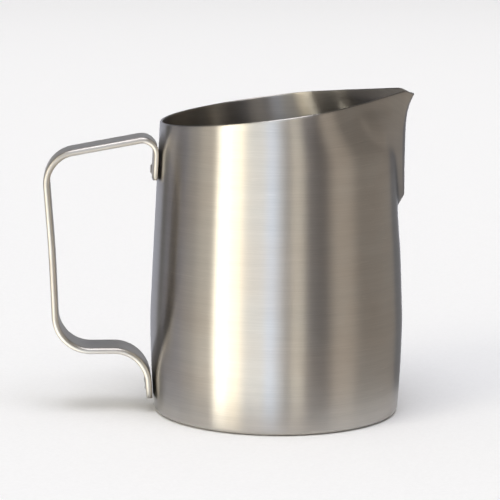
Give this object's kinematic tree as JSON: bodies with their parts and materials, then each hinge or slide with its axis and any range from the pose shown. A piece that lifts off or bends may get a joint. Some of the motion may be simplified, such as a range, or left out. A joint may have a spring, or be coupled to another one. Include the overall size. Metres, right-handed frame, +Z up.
{
  "type": "milk frothing pitcher",
  "caption": "Brushed steel milk frothing pitcher: a drawn cup with a slanted rim and a pressed pouring spout, and a bent strap handle spot-welded to it.",
  "frame": {"origin": "centre of the base on the cup's axis, on the surface that the pitcher stands on", "axes": "+X towards the spout, with the handle at -X. +Z up, along the cup's axis towards the open mouth. +Y across, to the left of the spout. The part is symmetric about y = 0."},
  "size_m": [0.1288, 0.0886, 0.1127],
  "materials": {
    "brushed_shell": "fine circumferential brushing, satin",
    "brushed_strap": "brushed along the strap, rounded edges polished, ends ground",
    "weld_metal": "spot-weld metal, dull"
  },
  "bodies": {
    "root": {"body_shell": "brushed_shell", "handle_strap": "brushed_strap", "upper_weld_nugget": "weld_metal", "lower_weld_nugget": "weld_metal"}
  },
  "joints": []
}
